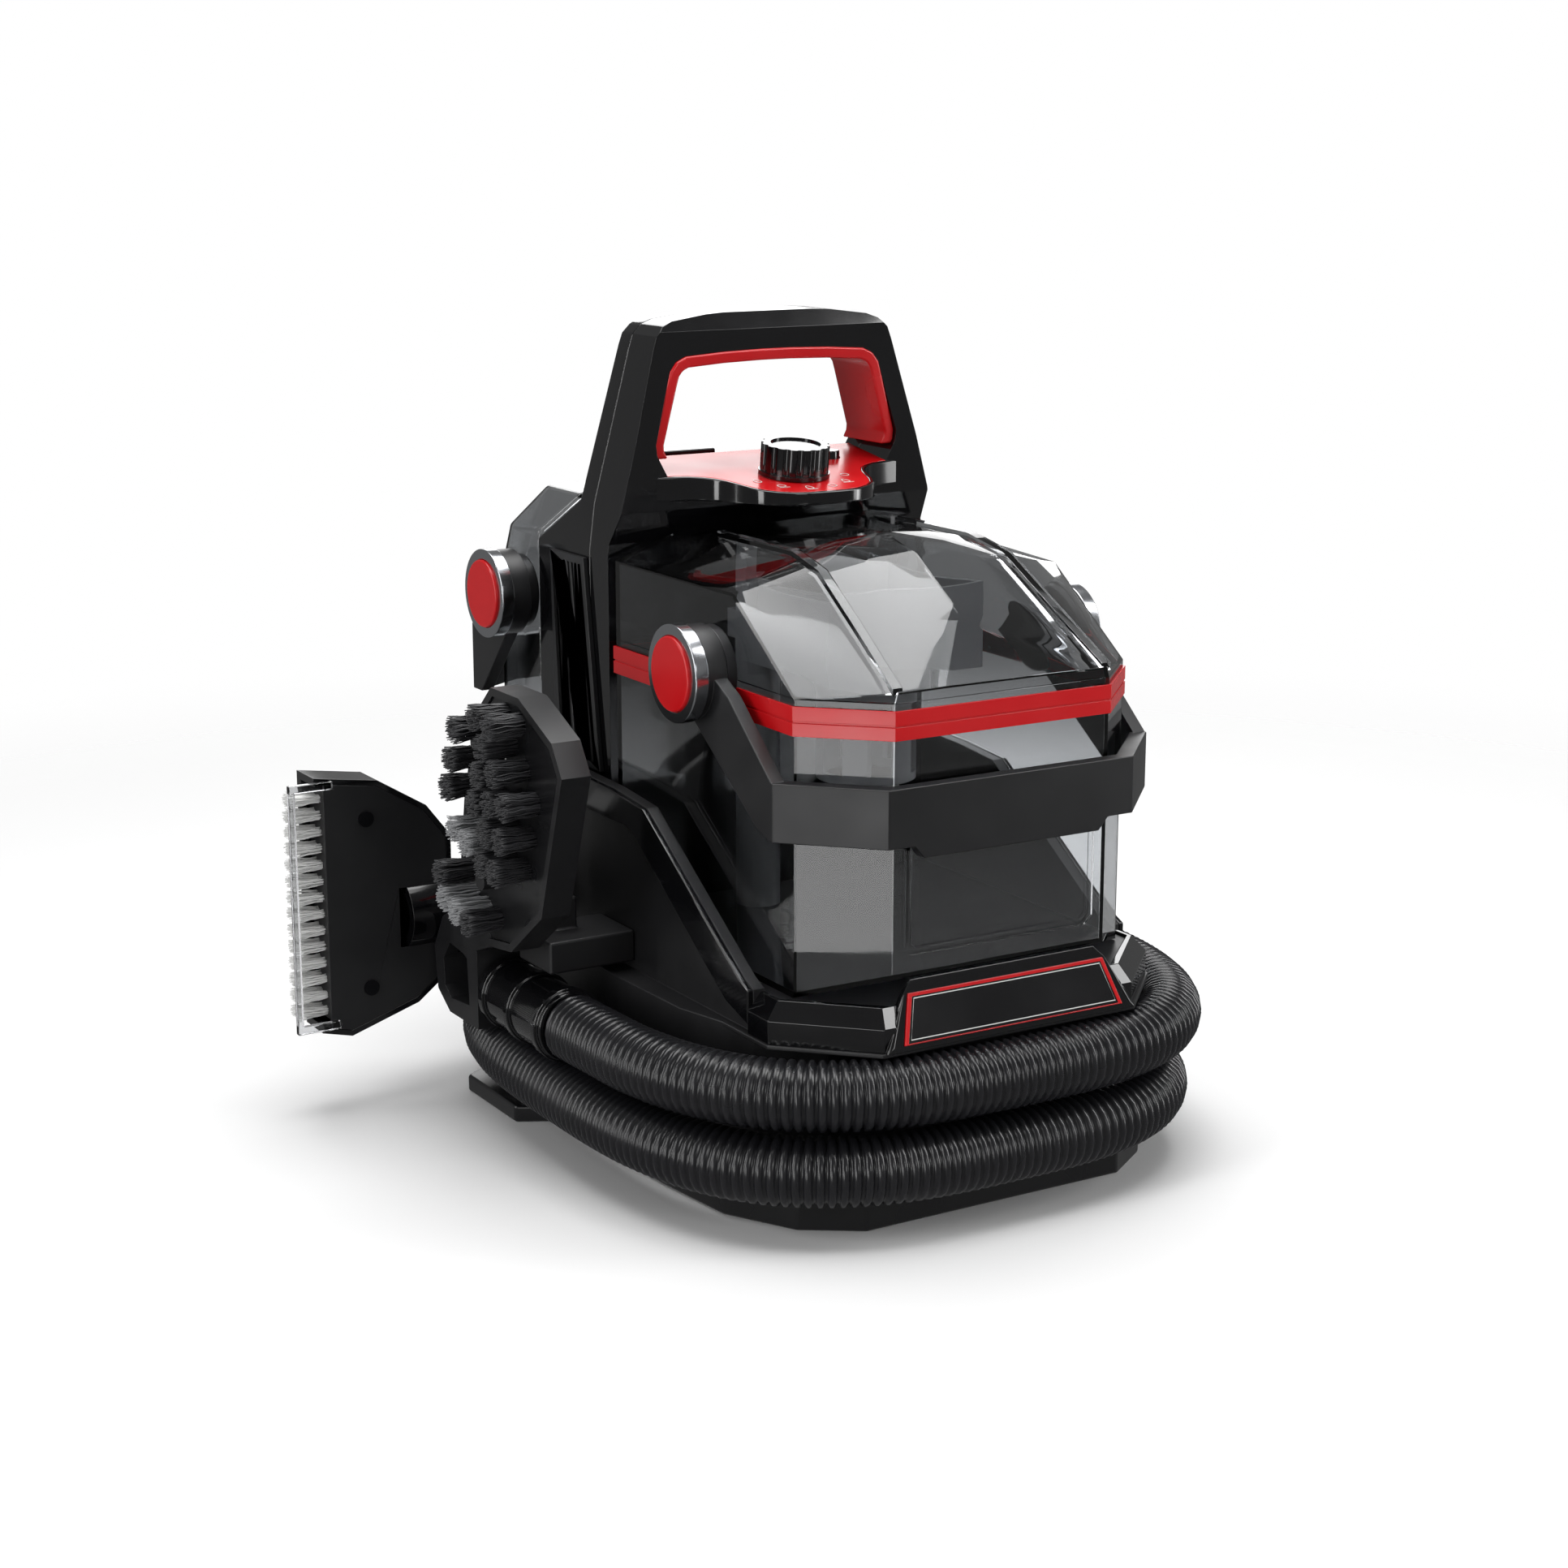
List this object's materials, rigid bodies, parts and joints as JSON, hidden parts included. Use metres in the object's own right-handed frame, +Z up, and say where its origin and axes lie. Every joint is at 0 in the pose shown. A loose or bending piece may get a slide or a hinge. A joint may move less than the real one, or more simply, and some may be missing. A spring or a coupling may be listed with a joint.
{
  "type": "portable spot carpet cleaner",
  "caption": "Portable spot cleaner with carry handle, removable clear front tank and rear tank, control dial, wrapped hose with brush tool, and a parked wide tool.",
  "frame": {"origin": "on the floor, under the middle of the base", "axes": "+Z up, -Y towards the front of the machine, +X to the right of someone facing the front of the machine"},
  "size_m": [0.3993, 0.3885, 0.4008],
  "materials": {
    "black_abs": "moulded black ABS, fine grain",
    "satin_abs": "satin black ABS",
    "gloss_abs": "polished black ABS",
    "red_abs": "red ABS",
    "plate_dark": "dark printed plate, lettering left out",
    "grey_plastic": "grey polypropylene",
    "white_plastic": "white polypropylene",
    "foot_rubber": "moulded rubber",
    "cord_rubber": "moulded rubber",
    "hose_plastic": "corrugated polyethylene",
    "motor_steel": "zinc plated motor case",
    "fan_aluminium": "stamped fan",
    "heater_aluminium": "cast heater block",
    "board_laminate": "green laminate",
    "bristle_dark": "dark nylon bristle",
    "bristle_grey": "light grey nylon bristle",
    "bristle_white": "white nylon bristle",
    "gasket_pale": "pale flocked edge",
    "clear_tank": "clear smoky polycarbonate",
    "clear_lip": "clear moulded lip",
    "screw_steel": "black zinc screw",
    "ring_chrome": "metallised ring"
  },
  "bodies": {
    "chassis": {"base_tray": "black_abs", "rubber_feet": "foot_rubber", "base_shell": "satin_abs", "tank_deck": "satin_abs", "cradle_rim": "gloss_abs", "front_bumper": "gloss_abs", "name_plate": "plate_dark", "plate_border": "red_abs", "tower_front_shell": "gloss_abs", "tower_rear_shell": "gloss_abs", "handle_liner": "red_abs", "control_bezel": "gloss_abs", "control_panel": "red_abs", "vent_panel_left": "satin_abs", "vent_panel_right": "satin_abs", "vacuum_motor": "motor_steel", "fan_housing": "satin_abs", "water_pump": "grey_plastic", "steam_heater": "heater_aluminium", "circuit_board": "board_laminate", "suction_pipe": "satin_abs", "hose_inlet_elbow": "gloss_abs", "hose": "hose_plastic", "hose_cuff": "gloss_abs", "grip_shell": "satin_abs", "brush_tool_body": "satin_abs", "brush_tool_plate": "black_abs", "brush_tufts_dark": "bristle_dark", "brush_tufts_light": "bristle_grey", "slot_gasket": "gasket_pale", "spray_nozzle": "satin_abs", "tool_dock": "satin_abs", "wide_tool_peg": "satin_abs", "cord_gland": "cord_rubber"},
    "dial": {"control_dial": "gloss_abs", "dial_stem": "grey_plastic"},
    "steam_key": {"steam_button": "gloss_abs"},
    "fan": {"impeller": "fan_aluminium"},
    "trigger": {"spray_trigger": "satin_abs"},
    "wide_tool": {"wide_tool_shell": "gloss_abs", "wide_tool_panel": "satin_abs", "wide_tool_tufts": "bristle_white", "wide_tool_lip": "clear_lip", "wide_tool_screws": "screw_steel"},
    "front_tank": {"front_bucket": "clear_tank", "front_lid": "clear_tank", "seal_band": "red_abs", "separator_box": "grey_plastic", "intake_tube": "grey_plastic", "front_hubs": "satin_abs"},
    "tank_float": {"float": "white_plastic"},
    "front_handle": {"front_bail": "satin_abs", "front_bail_rings": "ring_chrome", "front_bail_caps": "red_abs"},
    "rear_tank": {"rear_tank_shell": "clear_tank", "rear_fill_cap": "satin_abs", "rear_hubs": "satin_abs"},
    "rear_handle": {"rear_bail": "satin_abs", "rear_bail_rings": "ring_chrome", "rear_bail_caps": "red_abs"}
  },
  "joints": [
    {"name": "dial_turn", "type": "hinge", "parent": "chassis", "child": "dial", "pos_m": [0, 0.0326, 0.321], "axis": [0, -0.1219, 0.9925], "range_deg": [-90, 90]},
    {"name": "steam_press", "type": "slide", "parent": "chassis", "child": "steam_key", "axis": [0, 0, -1], "range_m": [0, 0.002], "stiffness_N_per_m": 300, "springref_m": -0.002},
    {"name": "fan_spin", "type": "hinge", "parent": "chassis", "child": "fan", "pos_m": [0, 0.097, 0.2], "axis": [0, 0, 1], "continuous": true},
    {"name": "trigger_pull", "type": "hinge", "parent": "chassis", "child": "trigger", "pos_m": [-0.1495, 0.103, 0.086], "axis": [-1, 0, 0], "range_deg": [0, 8], "stiffness_Nm_per_rad": 0.05, "springref_deg": -11.46},
    {"name": "wide_tool_slide", "type": "slide", "parent": "chassis", "child": "wide_tool", "axis": [-1, 0, 0], "range_m": [0, 0.06]},
    {"name": "front_tank_slide", "type": "slide", "parent": "chassis", "child": "front_tank", "axis": [0, -0.9397, 0.342], "range_m": [0, 0.2]},
    {"name": "float_rise", "type": "slide", "parent": "front_tank", "child": "tank_float", "axis": [0, 0, 1], "range_m": [0, 0.05]},
    {"name": "front_handle_swing", "type": "hinge", "parent": "front_tank", "child": "front_handle", "pos_m": [0, -0.048, 0.246], "axis": [-1, 0, 0], "range_deg": [0, 115]},
    {"name": "rear_tank_lift", "type": "slide", "parent": "chassis", "child": "rear_tank", "axis": [0, 0, 1], "range_m": [0, 0.18]},
    {"name": "rear_handle_swing", "type": "hinge", "parent": "rear_tank", "child": "rear_handle", "pos_m": [0, 0.153, 0.254], "axis": [1, 0, 0], "range_deg": [0, 125]}
  ]
}
